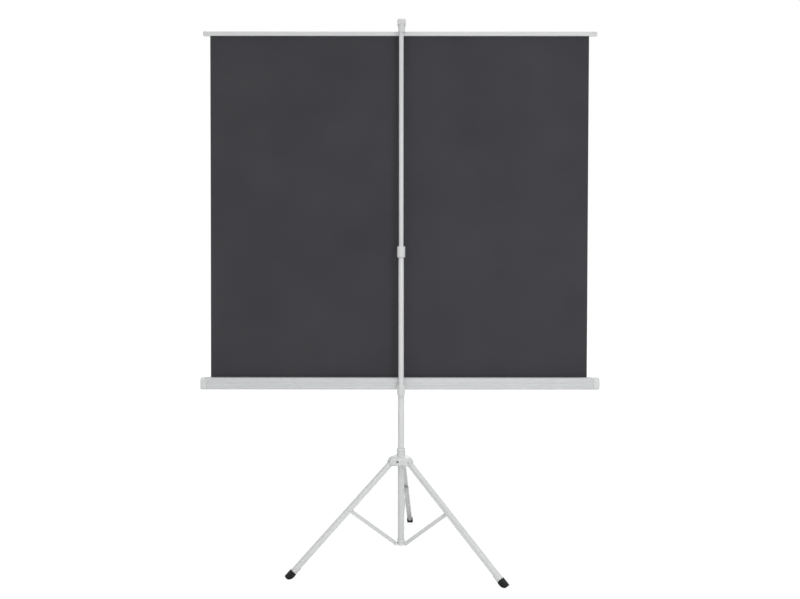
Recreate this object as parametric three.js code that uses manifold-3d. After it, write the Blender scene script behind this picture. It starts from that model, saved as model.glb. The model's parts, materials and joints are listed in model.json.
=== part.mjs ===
// A tripod projection screen, standing open with its fabric pulled up.
// Millimetres, +Z up. The back of the screen looks along -Y, the viewing side along +Y.
// The origin is on the floor, under the middle of the whole object.

import * as THREE from 'three';
import { mergeVertices } from 'three/addons/utils/BufferGeometryUtils.js';
import Module from 'manifold-3d';

const wasm = await Module();
wasm.setup();

// Driving dimensions: general
const GAP = 0.3; // between pieces that touch
const ROUND = 24; // facets round a tube
const HIDDEN = 16; // facets round a piece that is covered by others
const SMALL = 10; // facets round a pin
const MAST_X = 4.5; // the mast stands a little right of the case's middle

// Driving dimensions: mast
const LOWER_TUBE = { outer: 12.5, inner: 11.5, low: 58, high: 630 };
const MID_TUBE = { outer: 10.5, inner: 9.6, low: 100, high: 1204 };
const UPPER_TUBE = { outer: 9, inner: 7.8, low: 930, high: 2090 };
const FERRULE_TOP = 638;
const CARRIER = { radius: 15.3, tip: 13.2, low: 638.6, shoulder: 650, high: 684 };
const TWIST_COLLAR = { radius: 15.8, low: 1182, high: 1226, edge: 4, foot: 3 };
const COLLET = { radius: 12, low: 1205, high: 1219 };

// Driving dimensions: tripod
const TRIPOD_TURN = -5; // degrees, the legs stand turned on the mast
const SPREAD = 47.4; // degrees from the mast to an open leg
const HUB_PIVOT = { radius: 28, z: 388 };
const BRACKET_PIVOT = { radius: 22.5, z: 65 };
const STRUT_AT = 252; // hub pivot to strut rivet, along the leg
const LEG = { width: 20, depth: 18, wall: 1.3, corner: 2.5, length: 562, offset: 3, rise: 4 };
const STRUT = { width: 14, near: -3.1, far: -0.1 };
const LUG = { near: 0.2, far: 3.2, radius: 7.5 };
const BRACKET_SLEEVE = { radius: 14.7, low: 58.5, high: 79.5 };
const PIN_RADIUS = 3;
const BOOT = { wall: 2.6, corner: 6, top: 547, end: 579.5, heel: 551, tip: 3.5, edge: 1.5, mouth: 8.5 };
const HUB = { low: 371, high: 406, neckTop: 424, top: 434, bore: 15.2, neck: 16.5, reach: 52, dome: 40 };
const HUB_PIN = { radius: 2.2, head: 3.3, pocket: 4 };
const HUB_CHEEK = 3.6; // thickness of the ears beside a leg

// The hub swerves a little on its way up, so these leave it room
const HUB_PLAY = { tube: 1, side: 0.9, pin: 1.5, web: 1.5 };

// Driving dimensions: top cap and its hook
const CAP = { low: 2064, neckLow: 12.6, neckHigh: 14, headLow: 2096, top: 2114, head: 33, edge: 5 };
const HOOK_WIDTH = 22;

// Driving dimensions: case and roller
const CASE = { half: 790, capLength: 26, back: 18, front: 66, low: 661, high: 707.2, corner: 7, wall: 1.6 };
const CASE_SLOT = { back: 52, front: 58.8 };
const SWIVEL_Z = 674;
const ROLLER = { y: 39.5, z: 683, outer: 13, inner: 11.5, half: 740, wound: 16.5 };

// Driving dimensions: fabric and top bar
const FABRIC = { half: 752, thick: 0.8, low: 690, high: 2068, lowY: 56.2, x: -2 };
const BAR = { half: 781.5, capLength: 14, y: 33, depth: 14, low: 2062.5, high: 2080, corner: 4.5, wall: 1.6 };

// Worked out from the above
const spread = THREE.MathUtils.degToRad(SPREAD);
const LEG_NEAR = -LEG.offset - LEG.width / 2;
const LEG_FAR = -LEG.offset + LEG.width / 2;
const LEG_INNER = LEG.rise - LEG.depth / 2;
const LEG_OUTER = LEG.rise + LEG.depth / 2;
const STRUT_REACH = HUB_PIVOT.radius + STRUT_AT * Math.sin(spread) + LEG.rise * Math.cos(spread)
  - BRACKET_PIVOT.radius;
const STRUT_CLIMB = HUB_PIVOT.z - STRUT_AT * Math.cos(spread) + LEG.rise * Math.sin(spread) - BRACKET_PIVOT.z;
const STRUT_LENGTH = Math.hypot(STRUT_REACH, STRUT_CLIMB);
const strutLean = Math.atan2(STRUT_REACH, STRUT_CLIMB);
const LEG_ANGLES = { left: 210, right: 330, rear: 90 };

// Finishes
const finish = (color, roughness, metalness) =>
  new THREE.MeshStandardMaterial({ color, roughness, metalness });
const painted = () => finish(0xd3d5d4, 0.45, 0.2);
const moulded = () => finish(0xcdcfce, 0.55, 0);
const steel = () => finish(0xb4b7b8, 0.35, 0.9);
const rubber = () => finish(0x1b1b1d, 0.85, 0);
const nylon = () => finish(0xe6e4dc, 0.6, 0);
const cloth = () => finish(0x444348, 0.9, 0);

// Solids: welding, joining and cutting

function closed(geometry) {
  const bare = geometry.clone();
  for (const name of Object.keys(bare.attributes)) {
    if (name !== 'position') bare.deleteAttribute(name);
  }
  const welded = mergeVertices(bare, 1e-4);
  const place = welded.attributes.position;
  const corner = [new THREE.Vector3(), new THREE.Vector3(), new THREE.Vector3()];
  const faces = [];
  let volume = 0;
  for (let i = 0; i < welded.index.count; i += 3) {
    const face = [0, 1, 2].map((k) => welded.index.getX(i + k));
    if (new Set(face).size < 3) continue;
    face.forEach((v, k) => corner[k].fromBufferAttribute(place, v));
    volume += corner[0].dot(corner[1].clone().cross(corner[2]));
    faces.push(face);
  }
  if (volume < 0) faces.forEach((face) => face.reverse());
  welded.setIndex(faces.flat());
  return welded;
}

function toSolid(geometry) {
  const shell = closed(geometry);
  const vertProperties = new Float32Array(shell.attributes.position.array);
  const triVerts = new Uint32Array(shell.index.array);
  return new wasm.Manifold(new wasm.Mesh({ numProp: 3, vertProperties, triVerts }));
}

function toGeometry(solid) {
  const { vertProperties, triVerts, numProp } = solid.getMesh();
  const geometry = new THREE.BufferGeometry();
  const position = new Float32Array((vertProperties.length / numProp) * 3);
  position.forEach((_, i) => {
    position[i] = vertProperties[Math.floor(i / 3) * numProp + (i % 3)];
  });
  geometry.setAttribute('position', new THREE.BufferAttribute(position, 3));
  geometry.setIndex([...triVerts]);
  return geometry;
}

const join = (first, ...rest) => toGeometry(rest.reduce((sum, g) => sum.add(toSolid(g)), toSolid(first)));
const cut = (first, ...rest) => toGeometry(rest.reduce((sum, g) => sum.subtract(toSolid(g)), toSolid(first)));
const common = (first, second) => toGeometry(toSolid(first).intersect(toSolid(second)));

function piece(parent, name, geometry, material) {
  const shell = closed(geometry);
  shell.computeVertexNormals();
  const mesh = new THREE.Mesh(shell, material);
  mesh.name = name;
  parent.add(mesh);
  return mesh;
}

// Shapes: [radius, z] profiles turned about Z, and outlines extruded along X, Y or Z

function revolve(profile, facets = ROUND) {
  const points = profile.map(([r, z]) => new THREE.Vector2(r, z));
  const onAxis = points[0].x === 0 && points.at(-1).x === 0;
  if (!onAxis) points.push(points[0].clone());
  return new THREE.LatheGeometry(points, facets).rotateX(Math.PI / 2);
}

function arc(centreR, centreZ, radius, from, to, steps = 4) {
  return Array.from({ length: steps + 1 }, (_, i) => {
    const angle = THREE.MathUtils.degToRad(from + ((to - from) * i) / steps);
    return [centreR + radius * Math.cos(angle), centreZ + radius * Math.sin(angle)];
  });
}

const ring = (outer, inner, low, high, facets = ROUND) =>
  revolve([[inner, low], [outer, low], [outer, high], [inner, high]], facets);
const rod = (radius, low, high, facets = SMALL) =>
  revolve([[0, low], [radius, low], [radius, high], [0, high]], facets);

const X = new THREE.Vector3(1, 0, 0);
const Y = new THREE.Vector3(0, 1, 0);
const Z = new THREE.Vector3(0, 0, 1);

// Drawn in (Y, Z) and extruded along X, or turned about X
const alongX = (geometry) => geometry.applyMatrix4(new THREE.Matrix4().makeBasis(Y, Z, X));
// Turned about Y
const alongY = (geometry) => geometry.applyMatrix4(new THREE.Matrix4().makeBasis(Z, X, Y));

function block(x0, x1, y0, y1, z0, z1) {
  return new THREE.BoxGeometry(x1 - x0, y1 - y0, z1 - z0)
    .translate((x0 + x1) / 2, (y0 + y1) / 2, (z0 + z1) / 2);
}

function outline(points) {
  return new THREE.Shape(points.map(([u, v]) => new THREE.Vector2(u, v)));
}

function roundedRect(u0, u1, v0, v1, radius) {
  const shape = new THREE.Shape();
  const quarter = Math.PI / 2;
  shape.absarc(u1 - radius, v0 + radius, radius, -quarter, 0);
  shape.absarc(u1 - radius, v1 - radius, radius, 0, quarter);
  shape.absarc(u0 + radius, v1 - radius, radius, quarter, 2 * quarter);
  shape.absarc(u0 + radius, v0 + radius, radius, 2 * quarter, 3 * quarter);
  return shape;
}

function extrude(shape, low, high, bevel = 0, curveSegments = 2, inset = bevel) {
  const bevelling = { bevelThickness: bevel, bevelSize: inset, bevelOffset: -inset, bevelSegments: 2 };
  return new THREE.ExtrudeGeometry(shape, {
    depth: high - low - 2 * bevel, curveSegments, bevelEnabled: bevel > 0, ...bevelling,
  }).translate(0, 0, low + bevel);
}

// Drawn in (X, Z), from near to far along Y
function plate(shape, near, far, bevel = 0) {
  const depth = far - near;
  return extrude(shape, 0, depth, bevel, 5).rotateX(Math.PI / 2).translate(0, far, 0);
}

const pinHole = (x, z, near, far, radius = PIN_RADIUS + GAP) =>
  alongY(rod(radius, near, far)).translate(x, 0, z);

// A pin along Y with a low domed head at each end and, if given, spacers swaged on it
function rivet(near, far, spacers = [], radius = PIN_RADIUS, head = 5) {
  const dome = 1.5;
  const shank = revolve([
    [0, near - dome], [head * 0.65, near - dome], [head, near - dome * 0.4], [head, near],
    [radius, near], [radius, far],
    [head, far], [head, far + dome * 0.4], [head * 0.65, far + dome], [0, far + dome],
  ], SMALL);
  const sleeves = spacers.map(([from, to]) => ring(radius + 1.5, radius - 1, from, to, SMALL));
  return alongY(sleeves.length ? join(shank, ...sleeves) : shank);
}

// Lower mast: tube, ferrule, end plug and the bracket that the struts push on

function lowerMast(mast) {
  const { outer, inner, low, high } = LOWER_TUBE;
  piece(mast, 'lower_tube', ring(outer, inner, low, high), painted());

  const spigot = inner - GAP;
  const guide = MID_TUBE.outer + GAP;
  piece(mast, 'tube_ferrule', revolve([
    [guide, high - 18], [spigot, high - 18], [spigot, high + GAP], [outer, high + GAP],
    [outer, FERRULE_TOP - 1], [outer - 1, FERRULE_TOP], [guide, FERRULE_TOP],
  ]), moulded());

  const rim = 1.5;
  piece(mast, 'tube_end_plug', revolve([
    [0, low - rim], [outer - 0.7, low - rim], [outer, low - rim + 0.7], [outer, low - GAP],
    [spigot, low - GAP], [spigot, low + 14], [spigot - 2, low + 14], [spigot - 2, low + 2], [0, low + 2],
  ]), moulded());

  const { radius, z } = BRACKET_PIVOT;
  const sleeve = ring(BRACKET_SLEEVE.radius, outer + GAP, BRACKET_SLEEVE.low, BRACKET_SLEEVE.high);
  const lug = new THREE.Shape();
  const root = outer + 1;
  lug.moveTo(root, z - LUG.radius);
  lug.absarc(radius, z, LUG.radius, -Math.PI / 2, Math.PI / 2);
  lug.lineTo(root, z + LUG.radius);
  const hole = pinHole(radius, z, LUG.near - 1, LUG.far + 1);
  const drilled = cut(plate(lug, LUG.near, LUG.far), hole);
  const lugs = Object.values(LEG_ANGLES).map((angle) => drilled.clone().rotateZ(turned(angle)));
  piece(mast, 'leg_bracket', join(sleeve, ...lugs), painted());
}

function turned(angle) {
  return THREE.MathUtils.degToRad(angle + TRIPOD_TURN);
}

// Legs: channel, rubber boot, flat strut and their pins; X points outwards in each leg's group

function legChannel() {
  const half = LEG.depth / 2;
  const section = roundedRect(LEG_INNER, LEG_OUTER, LEG_NEAR, LEG_FAR, LEG.corner);
  const channel = extrude(section, -LEG.length, half);
  const hollow = block(
    LEG_INNER - 1, LEG_OUTER - LEG.wall, LEG_NEAR + LEG.wall, LEG_FAR - LEG.wall, -LEG.length - 1, half + 1,
  );
  const side = new THREE.Shape();
  side.absarc(LEG.rise, 0, half, 0, Math.PI);
  side.lineTo(LEG_INNER, -LEG.length);
  side.lineTo(LEG_OUTER, -LEG.length);
  const rounded = common(cut(channel, hollow), plate(side, LEG_NEAR - 1, LEG_FAR + 1));
  const strutHole = pinHole(LEG.rise, -STRUT_AT, LEG_NEAR - 1, LEG_FAR + 1);
  const hubHole = pinHole(0, 0, LEG_NEAR - 1, LEG_FAR + 1, HUB_PIN.radius + HUB_PLAY.pin);
  return cut(rounded, strutHole, hubHole);
}

// The boot wraps the channel's end, open on the inner side. Its toe curves round under the leg and is cut
// flat by the floor
function legBoot() {
  const { wall, corner, top, end, heel, tip, edge, mouth } = BOOT;
  const inner = LEG_INNER - wall;
  const outer = LEG_OUTER + wall;
  const shape = roundedRect(inner, outer, LEG_NEAR - wall, LEG_FAR + wall, corner);
  const sleeve = extrude(shape, -end - 1, -top, 1);
  const side = new THREE.Shape();
  side.moveTo(inner, 1 - top);
  side.lineTo(inner, -heel);
  side.quadraticCurveTo(inner, -end, outer - tip, -end);
  side.quadraticCurveTo(outer, -end, outer, tip - end);
  side.lineTo(outer, 1 - top);
  const boot = common(sleeve, plate(side, LEG_NEAR - wall, LEG_FAR + wall, edge));
  const socket = block(
    LEG_INNER - GAP, LEG_OUTER + GAP, LEG_NEAR - GAP, LEG_FAR + GAP, -LEG.length - GAP, 2 - top,
  );
  const opening = new THREE.Shape();
  opening.absarc(-LEG.offset, -LEG.length + mouth, mouth, -Math.PI, 0);
  opening.lineTo(mouth - LEG.offset, 2 - top);
  opening.lineTo(-mouth - LEG.offset, 2 - top);
  const notch = alongX(extrude(opening, inner - 1, LEG_INNER + 1, 0, 5));
  const foot = HUB_PIVOT.z * Math.tan(spread);
  const floor = block(foot - 80, foot + 80, -50, 50, -HUB_PIVOT.z - 60, -HUB_PIVOT.z).rotateY(spread);
  return cut(boot, socket, notch, floor);
}

function strutBar() {
  const half = STRUT.width / 2;
  const bar = new THREE.Shape();
  bar.absarc(0, STRUT_LENGTH, half, 0, Math.PI);
  bar.absarc(0, 0, half, Math.PI, 2 * Math.PI);
  const holes = [0, STRUT_LENGTH].map((z) => pinHole(0, z, STRUT.near - 1, STRUT.far + 1));
  return cut(plate(bar, STRUT.near, STRUT.far), ...holes);
}

function leg(tripod, name, angle) {
  const side = new THREE.Group();
  side.rotation.z = turned(angle);
  tripod.add(side);

  const limb = new THREE.Group();
  limb.position.set(HUB_PIVOT.radius, 0, HUB_PIVOT.z);
  limb.rotation.y = -spread;
  side.add(limb);
  piece(limb, `leg_${name}`, legChannel(), painted());
  piece(limb, `boot_${name}`, legBoot(), rubber());
  const spacers = [
    [LEG_NEAR + LEG.wall + GAP, STRUT.near - GAP],
    [STRUT.far + GAP, LEG_FAR - LEG.wall - GAP],
  ];
  const strutRivet = rivet(LEG_NEAR - GAP, LEG_FAR + GAP, spacers).translate(LEG.rise, 0, -STRUT_AT);
  piece(limb, `strut_rivet_${name}`, strutRivet, painted());

  const brace = new THREE.Group();
  brace.position.set(BRACKET_PIVOT.radius, 0, BRACKET_PIVOT.z);
  brace.rotation.y = strutLean;
  side.add(brace);
  piece(brace, `strut_${name}`, strutBar(), painted());
  piece(brace, `bracket_rivet_${name}`, rivet(STRUT.near - GAP, LUG.far + GAP), painted());
}

// Hub: a moulded yoke with three slotted lobes that slides on the lower tube, and its bush

function hub(tripod) {
  const { low, high, neckTop, top, bore, neck, reach, dome } = HUB;
  const shoulder = 16;
  const body = revolve([
    [bore, low], [dome - 6, low], [dome, low + 6],
    ...arc(dome - shoulder, high - shoulder, shoulder, 0, 90),
    [neck, high + 2], [neck, neckTop], [bore, neckTop],
  ]);

  const lobe = new THREE.Shape();
  lobe.moveTo(neck, low);
  lobe.lineTo(reach - 10, low);
  lobe.quadraticCurveTo(reach, low + 3, reach, low + 12);
  lobe.bezierCurveTo(reach, high - 12, reach - 12, high - 1, neck + 8, high - 1);
  lobe.lineTo(neck, high - 1);

  // Each slot's outer edge runs along the back of the open leg
  const lift = LEG_OUTER + HUB_PLAY.web;
  const along = (distance) => [
    HUB_PIVOT.radius + lift * Math.cos(spread) + distance * Math.sin(spread),
    HUB_PIVOT.z + lift * Math.sin(spread) - distance * Math.cos(spread),
  ];
  const roof = HUB_PIVOT.z + LEG.rise * Math.sin(spread) + LEG.depth / 2 + HUB_PLAY.web;
  const slotNear = LEG_NEAR - HUB_PLAY.side;
  const slotFar = LEG_FAR + HUB_PLAY.side;
  const slot = plate(outline([
    [neck + 0.4, low - 20], along(80), along(0), [HUB_PIVOT.radius + LEG_OUTER / 2, roof], [neck + 0.4, roof],
  ]), slotNear, slotFar);
  const near = slotNear - HUB_CHEEK;
  const far = slotFar + HUB_CHEEK;
  const hole = pinHole(HUB_PIVOT.radius, HUB_PIVOT.z, near - 1, far + 1, HUB_PIN.radius + GAP);
  const ear = plate(lobe, near, far, 2);
  const recesses = [[near - dome, near], [far, far + dome]].map(([from, to]) =>
    alongY(rod(HUB_PIN.pocket, from, to)).translate(HUB_PIVOT.radius, 0, HUB_PIVOT.z));

  const angles = Object.values(LEG_ANGLES).map(turned);
  const ears = angles.map((angle) => ear.clone().rotateZ(angle));
  const slots = angles.flatMap((angle) => [slot, hole, ...recesses].map((g) => g.clone().rotateZ(angle)));
  const well = rod(bore, low - 1, neckTop + 1, ROUND);
  piece(tripod, 'hub', cut(join(body, ...ears), well, ...slots), moulded());

  const guide = LOWER_TUBE.outer + HUB_PLAY.tube;
  piece(tripod, 'hub_bush', revolve([
    [guide, low], [bore - GAP, low], [bore - GAP, neckTop + GAP], [neck, neckTop + GAP],
    [neck, top - 2], [neck - 2, top], [guide, top],
  ]), moulded());

  for (const [name, angle] of Object.entries(LEG_ANGLES)) {
    const pin = rivet(near - GAP, far + GAP, [], HUB_PIN.radius, HUB_PIN.head);
    pin.translate(HUB_PIVOT.radius, 0, HUB_PIVOT.z).rotateZ(turned(angle));
    piece(tripod, `hub_pin_${name}`, pin, painted());
  }
}

// Middle mast: tube, guide bush, the carrier that holds the case, and the twist lock on top

function middleMast(mast) {
  const { outer, inner, low, high } = MID_TUBE;
  piece(mast, 'mid_tube', ring(outer, inner, low, high), painted());

  const guide = LOWER_TUBE.inner - GAP;
  const spigot = inner - GAP;
  piece(mast, 'mid_tube_bush', revolve([
    [7, low - 8], [guide, low - 8], [guide, low - GAP], [spigot, low - GAP], [spigot, low + 6], [7, low + 6],
  ], HIDDEN), nylon());

  const collar = revolve([
    [outer - 1, CARRIER.low], [CARRIER.tip, CARRIER.low], [CARRIER.radius, CARRIER.shoulder],
    [CARRIER.radius, CARRIER.high - 2], [CARRIER.radius - 2, CARRIER.high], [outer - 1, CARRIER.high],
  ]);
  const bossFace = CASE.back - 1.5;
  const boss = extrude(roundedRect(-11, 11, 4, bossFace, 2), CARRIER.shoulder + 3, CARRIER.high - 1);
  const bore = rod(outer + GAP, CARRIER.low - 1, CARRIER.high + 1, ROUND);
  const thread = alongY(rod(PIN_RADIUS + GAP, outer, bossFace + 1)).translate(0, 0, SWIVEL_Z);
  piece(mast, 'case_carrier', cut(join(collar, boss), bore, thread), moulded());

  const washer = ring(9, PIN_RADIUS + GAP, bossFace + GAP, CASE.back - GAP, 20);
  piece(mast, 'swivel_washer', alongY(washer).translate(0, 0, SWIVEL_Z), nylon());
  const seat = CASE.back + CASE.wall + GAP;
  const bolt = revolve([
    [0, outer + 1], [PIN_RADIUS, outer + 1], [PIN_RADIUS, seat],
    [6, seat], [6, seat + 1.2], [4.5, seat + 2.2], [0, seat + 2.2],
  ], SMALL);
  piece(mast, 'swivel_bolt', alongY(bolt).translate(0, 0, SWIVEL_Z), steel());

  const grip = UPPER_TUBE.outer + GAP;
  piece(mast, 'lock_collet', revolve([
    [grip, COLLET.low], [COLLET.radius, COLLET.low], [COLLET.radius, COLLET.low + 8],
    [grip + 1.2, COLLET.high], [grip, COLLET.high],
  ], HIDDEN), nylon());

  const { radius, edge, foot } = TWIST_COLLAR;
  const clearance = COLLET.radius + 0.4;
  piece(mast, 'twist_collar', revolve([
    [outer + GAP, TWIST_COLLAR.low], ...arc(radius - foot, TWIST_COLLAR.low + foot, foot, -90, 0, 2),
    ...arc(radius - edge, TWIST_COLLAR.high - edge, edge, 0, 90, 3),
    [grip, TWIST_COLLAR.high], [grip, COLLET.high + 1], [clearance, COLLET.high],
    [clearance, COLLET.low - 1.5], [outer + GAP, COLLET.low - 1.5],
  ]), moulded());
}

// Upper mast: tube, guide plug and the cap with the hook that the top bar hangs on

function upperMast(mast) {
  const { outer, inner, low, high } = UPPER_TUBE;
  piece(mast, 'upper_tube', ring(outer, inner, low, high), painted());

  const spigot = inner - GAP;
  piece(mast, 'upper_tube_plug', revolve([
    [0, low - 10], [MID_TUBE.inner - GAP - 1, low - 10], [MID_TUBE.inner - GAP, low - 9],
    [MID_TUBE.inner - GAP, low - GAP], [spigot, low - GAP], [spigot, low + 12], [0, low + 12],
  ], HIDDEN), nylon());

  const neck = revolve([
    [0, CAP.low], [CAP.neckLow, CAP.low], [CAP.neckHigh, CAP.headLow - GAP], [0, CAP.headLow - GAP],
  ]);
  const half = HOOK_WIDTH / 2;
  const finger = alongX(extrude(outline([
    [8, CAP.low + 5], [20.5, CAP.low + 5], [21.5, CAP.low + 6], [21.5, CAP.low + 19],
    [18, CAP.low + 19], [18, CAP.low + 10], [8, CAP.low + 10],
  ]), -half, half));
  const bore = rod(outer + GAP, CAP.low - 1, high + GAP, ROUND);
  piece(mast, 'top_cap', cut(join(neck, finger), bore), moulded());

  const side = CAP.head / 2;
  const square = roundedRect(-side, side, -side, side, 7);
  const crown = extrude(square, CAP.headLow, CAP.top, CAP.edge, 3);
  const skirt = extrude(square, CAP.headLow, CAP.top - CAP.edge - 2, 1, 3);
  piece(mast, 'cap_head', join(crown, skirt), moulded());
}

// Case: the extruded shell, its two end caps, and the spring roller that the fabric winds on

function caseShell(screen) {
  const { half, capLength, back, front, low, high, corner, wall } = CASE;
  const reach = half - capLength - GAP;
  const section = roundedRect(back, front, low, high, corner);
  section.holes.push(roundedRect(back + wall, front - wall, low + wall, high - wall, corner - wall));
  const shell = alongX(extrude(section, -reach, reach, 0, 3));
  const slot = block(-half, half, CASE_SLOT.back, CASE_SLOT.front, high - wall - 1, high + 1);
  const grooves = [high - 8.7, high - 20.7].map((z) => block(-half, half, back - 1, back + 0.6, z, z + 1));
  const hole = alongY(rod(PIN_RADIUS + GAP, back - 1, back + wall + 1)).translate(MAST_X, 0, SWIVEL_Z);
  piece(screen, 'case_shell', cut(shell, slot, ...grooves, hole), painted());
}

function caseCap(screen, name, sign) {
  const { half, capLength, back, front, low, high, corner, wall } = CASE;
  const proud = 0.4;
  const edge = 5;
  const inner = half - capLength;
  const cover = roundedRect(back - proud, front + proud, low - proud, high + proud, corner + 3);
  const dome = extrude(cover, inner - 2 * edge, half, edge, 2, edge * 1.5);
  const rim = roundedRect(back - 2 * proud, front + 2 * proud, low - 2 * proud, high + 2 * proud, corner + 1);
  const lip = extrude(rim, inner, inner + 4, 0.8);
  const waste = block(-100, 100, -100, 900, inner - 60, inner);
  const cap = join(cut(dome, waste), lip);
  const clear = wall + GAP;
  const hollow = roundedRect(back + clear, front - clear, low + clear, high - clear, corner - clear);
  const plug = extrude(hollow, inner - 9, inner + 1);
  const pocket = rod(4 + GAP, inner - 20, half - edge, SMALL).translate(ROLLER.y, ROLLER.z, 0);
  const whole = alongX(cut(join(cap, plug), pocket));
  if (sign < 0) whole.applyMatrix4(new THREE.Matrix4().makeScale(-1, 1, 1));
  piece(screen, `case_cap_${name}`, whole, moulded());
}

const onRoller = (geometry) => alongX(geometry).translate(0, ROLLER.y, ROLLER.z);

function springHelix(from, to, turns, radius) {
  const steps = 8;
  const points = Array.from({ length: turns * steps + 1 }, (_, i) => {
    const angle = (2 * Math.PI * i) / steps;
    const along = from + ((to - from) * i) / (turns * steps);
    return new THREE.Vector3(along, radius * Math.cos(angle), radius * Math.sin(angle));
  });
  const wire = new THREE.Shape();
  wire.absarc(0, 0, 0.9, 0, 2 * Math.PI);
  const path = new THREE.CatmullRomCurve3(points);
  return new THREE.ExtrudeGeometry(wire, {
    steps: turns * steps, curveSegments: 2, extrudePath: path, bevelEnabled: false,
  });
}

function roller(screen) {
  const { outer, inner, half, wound, y, z } = ROLLER;
  const arborEnd = -400;
  const plugLength = 18;
  piece(screen, 'roller_tube', onRoller(ring(outer, inner, -half, half, HIDDEN)), steel());
  const plug = (from, to) => onRoller(ring(inner - GAP, 4 + GAP, from, to, HIDDEN));
  piece(screen, 'roller_plug_left', plug(-half, plugLength - half), nylon());
  piece(screen, 'roller_plug_right', plug(half - plugLength, half), nylon());
  piece(screen, 'spring_anchor', onRoller(rod(inner - GAP, arborEnd + 2, arborEnd + 20, HIDDEN)), nylon());
  const seat = CASE.half - 7;
  piece(screen, 'spring_arbor', onRoller(rod(4, -seat, arborEnd)), steel());
  piece(screen, 'roller_gudgeon', onRoller(rod(4, half - plugLength - 5, seat)), steel());
  const coil = springHelix(plugLength - half + 4, arborEnd - 4, 12, 7.6);
  piece(screen, 'roller_spring', coil.translate(0, y, z), steel());
  const roll = ring(wound, outer + GAP, -FABRIC.half, FABRIC.half, HIDDEN);
  piece(screen, 'wound_fabric', onRoller(roll), cloth());
}

// Screen: the fabric, its hem rod, and the top bar with its end caps and hanger

function fabric(screen) {
  const { half, thick, low, high, lowY, x } = FABRIC;
  const sheet = alongX(extrude(outline([
    [lowY - thick / 2, low], [lowY + thick / 2, low], [BAR.y + thick / 2, high], [BAR.y - thick / 2, high],
  ]), x - half, x + half));
  piece(screen, 'screen_fabric', sheet, cloth());
  const hem = 2.4;
  const rodZ = high + hem + GAP;
  piece(screen, 'hem_rod', alongX(rod(hem, x - half, x + half)).translate(0, BAR.y, rodZ), steel());
}

function topBar(screen) {
  const { half, capLength, y, depth, low, high, corner, wall } = BAR;
  const back = y - depth / 2;
  const front = y + depth / 2;
  const reach = half - capLength - GAP;
  const section = roundedRect(back, front, low, high, corner);
  section.holes.push(roundedRect(back + wall, front - wall, low + wall, high - wall, corner - wall));
  const slot = block(-half, half, y - 1.2, y + 1.2, low - 1, low + wall + 1);
  piece(screen, 'top_bar', cut(alongX(extrude(section, -reach, reach)), slot), painted());

  const inner = half - capLength;
  const edge = 3;
  const proud = 0.2;
  for (const [name, sign] of [['left', -1], ['right', 1]]) {
    const cover = roundedRect(back - proud, front + proud, low - proud, high + proud, corner + proud);
    const dome = extrude(cover, inner - 2 * edge, half, edge);
    const waste = extrude(roundedRect(back - 9, front + 9, low - 9, high + 9, 1), inner - 50, inner);
    const clear = wall + GAP;
    const hollow = roundedRect(back + clear, front - clear, low + clear, high - clear, corner - clear);
    const plug = extrude(hollow, inner - 8, inner + 1);
    const whole = alongX(join(cut(dome, waste), plug));
    if (sign < 0) whole.applyMatrix4(new THREE.Matrix4().makeScale(-1, 1, 1));
    piece(screen, `bar_cap_${name}`, whole, moulded());
  }

  const hookHalf = HOOK_WIDTH / 2;
  const face = back - GAP;
  const lip = CAP.low + 19 + 0.4;
  const strip = alongX(extrude(outline([
    [face, low + 2.5], [face, lip + 2.4], [14.2, lip + 2.4], [14.2, lip - 5.5], [16.2, lip - 5.5],
    [16.2, lip], [face - 1.6, lip], [face - 1.6, low + 2.5],
  ]), MAST_X - hookHalf, MAST_X + hookHalf));
  const heads = [-6, 6].map((x) => alongY(revolve([
    [0, face - 3], [2, face - 3], [3, face - 2], [3, face - 1], [0, face - 1],
  ], SMALL)).translate(MAST_X + x, 0, low + 8));
  piece(screen, 'bar_hanger', join(strip, ...heads), steel());
}

// The whole screen

const screen = new THREE.Group();
const mast = new THREE.Group();
mast.position.x = MAST_X;
screen.add(mast);

lowerMast(mast);
for (const [name, angle] of Object.entries(LEG_ANGLES)) leg(mast, name, angle);
hub(mast);
middleMast(mast);
upperMast(mast);
caseShell(screen);
caseCap(screen, 'left', -1);
caseCap(screen, 'right', 1);
roller(screen);
fabric(screen);
topBar(screen);

// The feet reach further forward than back, so the middle of the whole is found last
const box = new THREE.Box3().setFromObject(screen, true);
screen.position.y = -(box.min.y + box.max.y) / 2;

export default screen;
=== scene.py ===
# A tripod projection screen seen from behind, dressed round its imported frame.

import json
import math
import bpy
from mathutils import Matrix, Vector

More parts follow.
